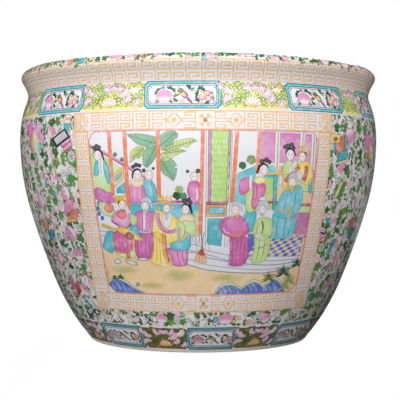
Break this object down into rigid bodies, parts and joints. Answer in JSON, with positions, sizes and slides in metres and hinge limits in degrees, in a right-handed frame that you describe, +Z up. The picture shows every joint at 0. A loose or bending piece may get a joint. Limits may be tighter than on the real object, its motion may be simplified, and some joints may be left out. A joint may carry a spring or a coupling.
{
  "type": "chinese fish bowl jardiniere",
  "caption": "Large round porcelain fish bowl with everted rim, painted all over with framed court scenes, flowers and key-fret bands; holds water, fish or a plant.",
  "frame": {"origin": "centre of the foot's standing plane, on the bowl's axis", "axes": "+Z up the bowl's axis, -Y towards the front picture, +X to the viewer's right"},
  "size_m": [0.4116, 0.4116, 0.3051],
  "materials": {
    "porcelain_body": "unglazed biscuit, fine matte",
    "luting_slip": "fired slip, matte",
    "clear_glaze": "glossy white glaze",
    "flower_enamel": "glossy enamel flowers on white",
    "gold_fret_enamel": "glossy orange-gold fret on white",
    "yellow_ground_enamel": "glossy yellow enamel ground with flowers",
    "turquoise_enamel": "glossy turquoise enamel",
    "picture_enamel": "glossy painted enamel picture",
    "olive_ground_enamel": "glossy olive enamel ground with flowers"
  },
  "bodies": {
    "root": {"foot_ring": "porcelain_body", "base_slab": "porcelain_body", "lower_wall": "porcelain_body", "upper_wall": "porcelain_body", "rim_collar": "porcelain_body", "foot_luting_slip": "luting_slip", "base_luting_slip": "luting_slip", "belly_luting_slip": "luting_slip", "neck_luting_slip": "luting_slip", "glaze_coat": "clear_glaze", "lip_flower_band": "flower_enamel", "rim_fret_band": "gold_fret_enamel", "shoulder_ground": "yellow_ground_enamel", "shoulder_cartouche_frames": "turquoise_enamel", "front_panel_frame": "gold_fret_enamel", "front_picture": "picture_enamel", "back_panel_frame": "gold_fret_enamel", "back_picture": "picture_enamel", "flower_ground": "flower_enamel", "lower_ground": "olive_ground_enamel", "lower_cartouche_frames": "turquoise_enamel"}
  },
  "joints": []
}
